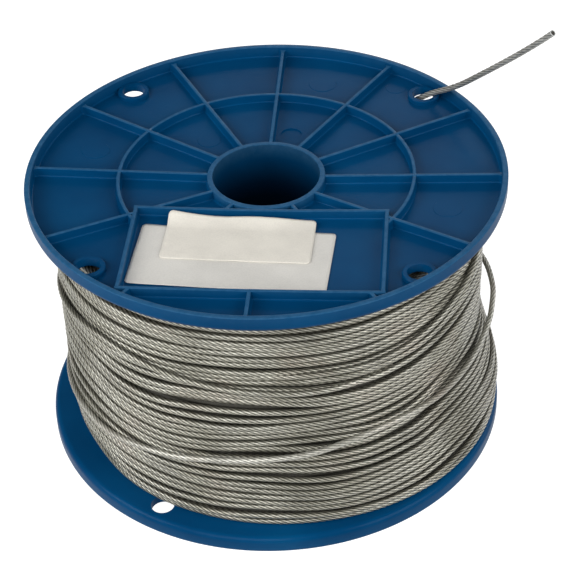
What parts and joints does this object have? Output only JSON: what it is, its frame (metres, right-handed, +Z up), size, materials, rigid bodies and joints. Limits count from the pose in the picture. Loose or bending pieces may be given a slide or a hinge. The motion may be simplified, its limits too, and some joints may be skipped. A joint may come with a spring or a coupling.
{
  "type": "spool of wire rope",
  "caption": "Moulded plastic spool with ribbed flanges, wound with plastic-coated steel wire rope whose free end comes out through an anchor hole.",
  "frame": {"origin": "centre of the spool's footprint, on the floor plane under the lower rim", "axes": "+Z up along the spool's axis, label pocket of the upper flange towards -Y, ribs every 30 degrees from +X"},
  "size_m": [0.25, 0.23, 0.2014],
  "materials": {
    "blue_plastic": "semi-gloss moulded deep blue",
    "coated_rope": "galvanised steel strands under clear plastic",
    "white_paper": "matt white label paper",
    "cream_paper": "matt cream label paper"
  },
  "bodies": {
    "root": {"upper_spool_half": "blue_plastic", "lower_spool_half": "blue_plastic", "rope_winding": "coated_rope", "rope_tail": "coated_rope", "large_label": "white_paper", "small_label": "cream_paper"}
  },
  "joints": []
}
